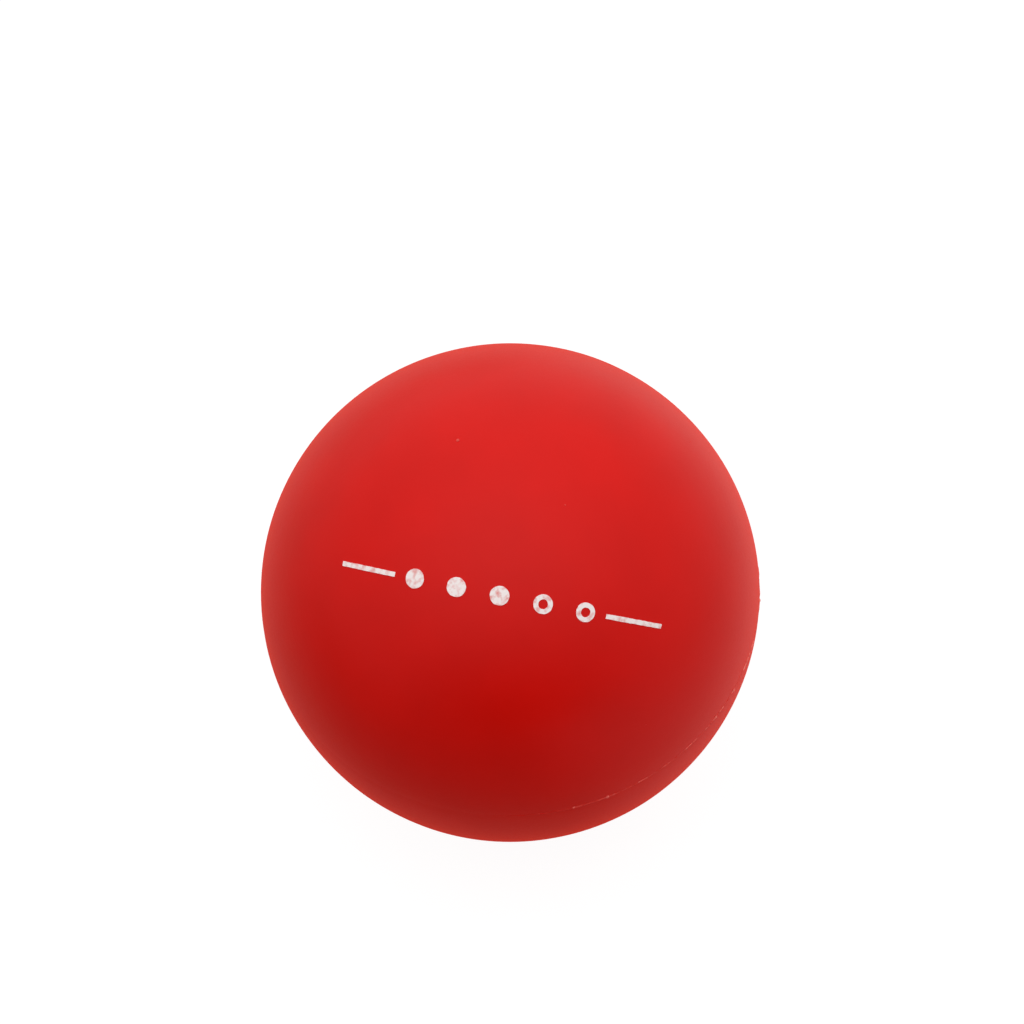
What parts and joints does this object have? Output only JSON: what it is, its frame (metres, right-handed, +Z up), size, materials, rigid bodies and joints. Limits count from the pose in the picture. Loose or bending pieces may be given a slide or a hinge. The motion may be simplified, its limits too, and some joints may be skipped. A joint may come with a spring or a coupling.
{
  "type": "hand exercise ball",
  "caption": "Soft red foam ball with a moulded two-part skin, a fine parting bead and a white printed firmness scale, squeezed in the hand to exercise the grip.",
  "frame": {"origin": "the ball's centre, in the middle of its parting plane", "axes": "+Z up along the squeeze, away from the pour gate; the printed scale faces -Y and up"},
  "size_m": [0.0633, 0.0632, 0.063],
  "materials": {
    "skin": "satin red polyurethane coat, moulded with a fine orange peel",
    "flash": "trimmed red polyurethane flash, matt on the cut",
    "foam": "open-cell polyurethane foam, matt",
    "ink": "white pad-printing ink, matt"
  },
  "bodies": {
    "palm_half": {"foam_core": "foam", "lower_skin": "skin", "gate_stub": "foam"},
    "finger_half": {"upper_skin": "skin", "print_marks": "ink"},
    "parting_ring": {"seam_bead": "flash", "vent_pips": "flash"}
  },
  "joints": [
    {"name": "squeeze", "type": "slide", "parent": "palm_half", "child": "finger_half", "axis": [0, 0, -1], "range_m": [0, 0.022], "stiffness_N_per_m": 2000, "deforming": ["foam_core", "lower_skin", "upper_skin", "print_marks"]},
    {"name": "seam_follow", "type": "slide", "parent": "palm_half", "child": "parting_ring", "axis": [0, 0, -1], "range_m": [0, 0.011]}
  ],
  "couplings": [
    {"joint": "seam_follow", "follows": "squeeze", "ratio": 0.5}
  ]
}
